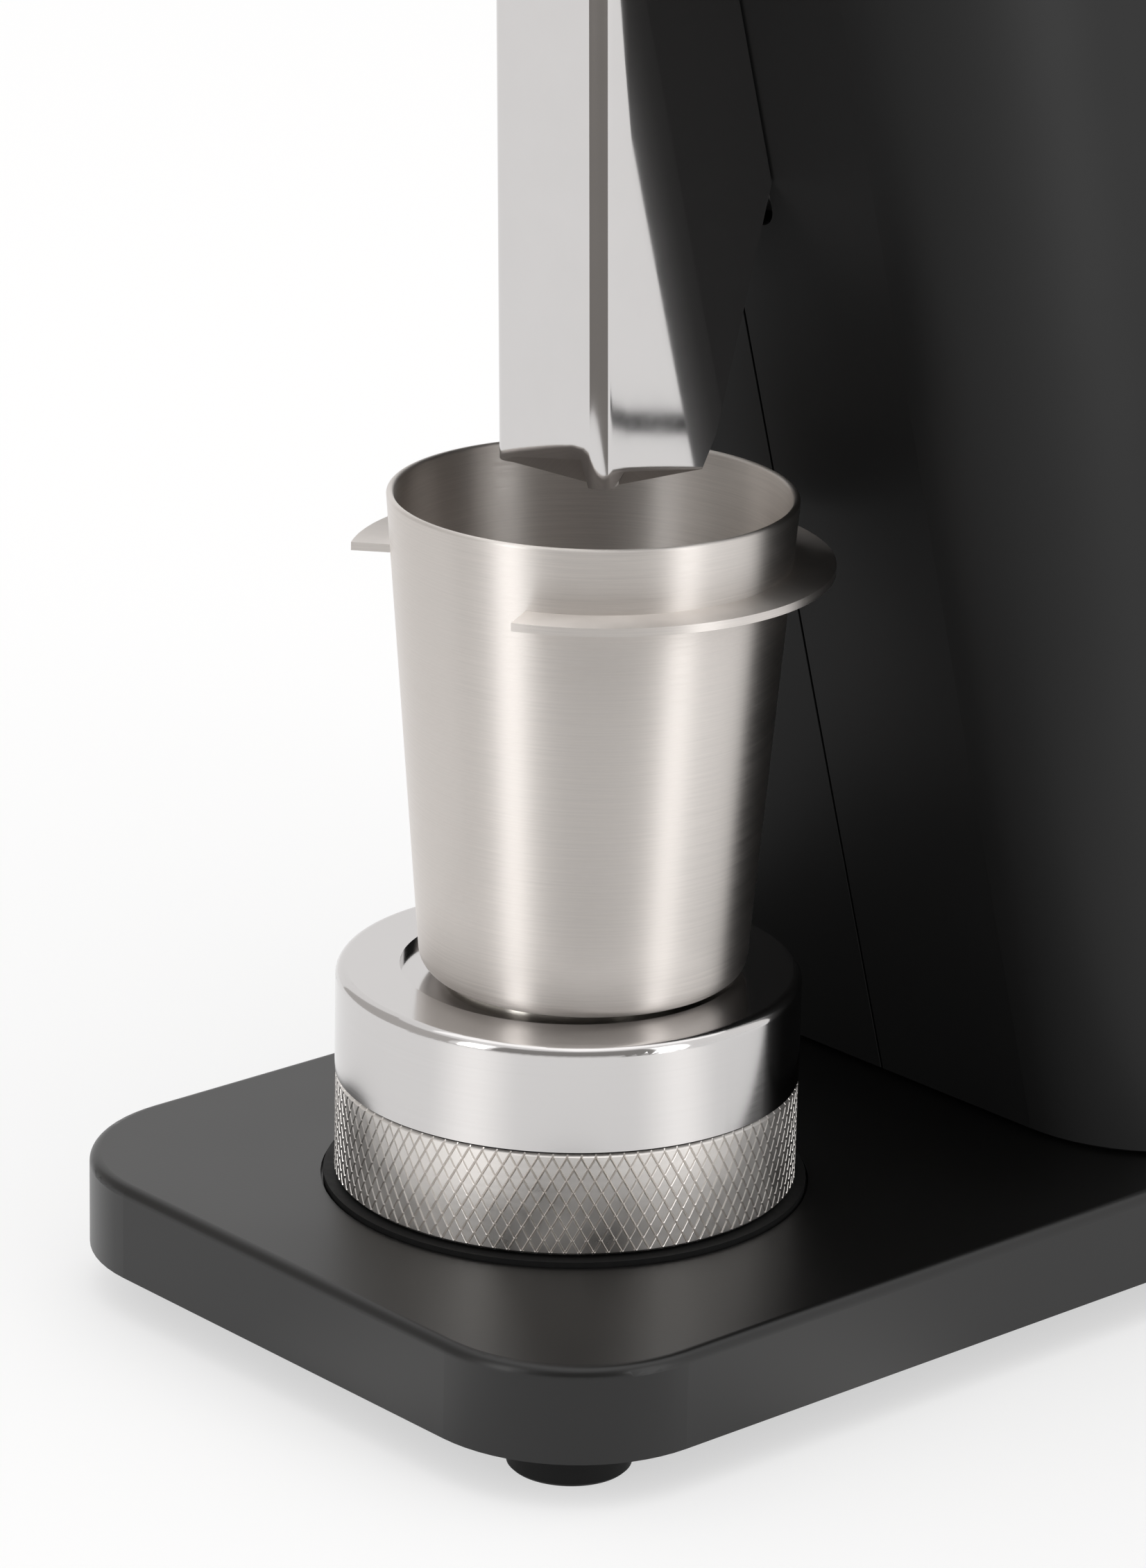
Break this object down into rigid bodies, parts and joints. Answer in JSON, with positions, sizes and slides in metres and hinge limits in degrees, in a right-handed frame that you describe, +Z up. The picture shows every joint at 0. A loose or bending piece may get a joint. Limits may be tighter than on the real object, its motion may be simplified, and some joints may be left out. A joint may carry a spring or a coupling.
{
  "type": "coffee grinder",
  "caption": "Leaning-body coffee grinder on a flat base, with a mirror chute over a steel dosing cup on a height-adjustable knurled pedestal.",
  "frame": {"origin": "on the ground below the middle of the base plate, at the feet's lower faces", "axes": "+Z up, -Y to the front where the cup stands, +X across the width"},
  "size_m": [0.118, 0.253, 0.3885],
  "materials": {
    "black_coat": "satin black powder coat",
    "body_coat": "satin black paint",
    "black_rubber": "matte",
    "knurled_steel": "diamond knurled, bright",
    "polished_aluminium": "turned and polished",
    "cup_steel": "brushed round the axis",
    "mirror_steel": "mirror polished",
    "magnet_nickel": "nickel plated",
    "machined_steel": "turned",
    "dark_anodised": "black anodised, fine bead blast",
    "turned_aluminium": "fine turned",
    "burr_steel": "ground",
    "lamination_steel": "matte",
    "copper_winding": "enamelled wire",
    "contact_brass": "plain",
    "black_plastic": "moulded",
    "gloss_black": "gloss",
    "board_green": "solder mask",
    "capacitor_sleeve": "shrink sleeve"
  },
  "bodies": {
    "stand": {"base_plate": "black_coat", "base_cover": "black_coat", "foot_front_left": "black_rubber", "foot_front_right": "black_rubber", "foot_rear_left": "black_rubber", "foot_rear_right": "black_rubber", "pedestal_gasket": "black_rubber", "pedestal_post": "machined_steel", "body_shell": "body_coat", "body_floor": "turned_aluminium", "body_gasket": "black_rubber", "slot_bracket": "turned_aluminium", "chute_magnets": "magnet_nickel", "top_cover": "body_coat", "index_marker": "machined_steel", "motor_housing": "machined_steel", "lower_end_bell": "turned_aluminium", "stator_core": "lamination_steel", "stator_windings": "copper_winding", "lower_bearing": "machined_steel", "motor_deck": "turned_aluminium", "upper_bearing": "machined_steel", "deck_spacer": "turned_aluminium", "grinding_chamber": "turned_aluminium", "chamber_seal": "black_rubber", "outlet_spout": "turned_aluminium", "preload_springs": "machined_steel", "rear_panel": "body_coat", "power_inlet": "black_plastic", "inlet_pins": "contact_brass", "switch_housing": "black_plastic", "panel_screws": "machined_steel", "control_board": "board_green", "board_standoffs": "black_plastic", "capacitor": "capacitor_sleeve", "driver_modules": "black_plastic", "post_screws": "machined_steel", "body_screws": "machined_steel"},
    "height_ring": {"knurled_ring": "knurled_steel"},
    "platform": {"cup_platform": "polished_aluminium", "cup_magnet": "magnet_nickel"},
    "cup": {"dosing_cup": "cup_steel", "cup_collar": "cup_steel"},
    "chute": {"chute": "mirror_steel", "chute_tab": "mirror_steel"},
    "drive": {"rotor": "lamination_steel", "motor_shaft": "machined_steel", "lower_burr_carrier": "turned_aluminium", "lower_burr": "burr_steel"},
    "upper_burr_set": {"upper_burr_carrier": "turned_aluminium", "carrier_neck": "turned_aluminium", "upper_burr": "burr_steel"},
    "dial": {"adjustment_dial": "dark_anodised", "dial_sleeve": "dark_anodised"},
    "hopper": {"hopper_spigot": "dark_anodised", "hopper_collar": "dark_anodised", "hopper": "dark_anodised"},
    "lid": {"hopper_lid": "turned_aluminium", "lid_knob": "turned_aluminium"},
    "rocker": {"switch_rocker": "gloss_black"}
  },
  "joints": [
    {"name": "ring_turn", "type": "hinge", "parent": "stand", "child": "height_ring", "pos_m": [0, -0.0732, 0.02885], "axis": [0, 0, 1], "range_deg": [0, 360]},
    {"name": "platform_rise", "type": "slide", "parent": "stand", "child": "platform", "axis": [0, 0, 1], "range_m": [0, 0.003]},
    {"name": "cup_draw", "type": "slide", "parent": "platform", "child": "cup", "axis": [0, -1, 0], "range_m": [0, 0.1]},
    {"name": "chute_pull", "type": "slide", "parent": "stand", "child": "chute", "axis": [0, -1, 0], "range_m": [0, 0.1]},
    {"name": "burr_spin", "type": "hinge", "parent": "stand", "child": "drive", "pos_m": [0, 0.01515, 0.14624], "axis": [0, -0.2639, 0.9646], "continuous": true},
    {"name": "dial_turn", "type": "hinge", "parent": "stand", "child": "dial", "pos_m": [0, -0.03419, 0.32661], "axis": [0, -0.2639, 0.9646], "range_deg": [0, 360]},
    {"name": "burr_gap", "type": "slide", "parent": "stand", "child": "upper_burr_set", "axis": [0, -0.2639, 0.9646], "range_m": [0, 0.0015]},
    {"name": "hopper_lift", "type": "slide", "parent": "dial", "child": "hopper", "axis": [0, -0.2639, 0.9646], "range_m": [0, 0.1]},
    {"name": "lid_lift", "type": "slide", "parent": "hopper", "child": "lid", "axis": [0, -0.2639, 0.9646], "range_m": [0, 0.05]},
    {"name": "switch_rock", "type": "hinge", "parent": "stand", "child": "rocker", "pos_m": [0, 0.0864, 0.1056], "axis": [1, 0, 0], "range_deg": [0, 14]}
  ],
  "couplings": [
    {"joint": "platform_rise", "follows": "ring_turn", "m_per_rad": 0.000477},
    {"joint": "burr_gap", "follows": "dial_turn", "m_per_rad": 0.000238}
  ]
}
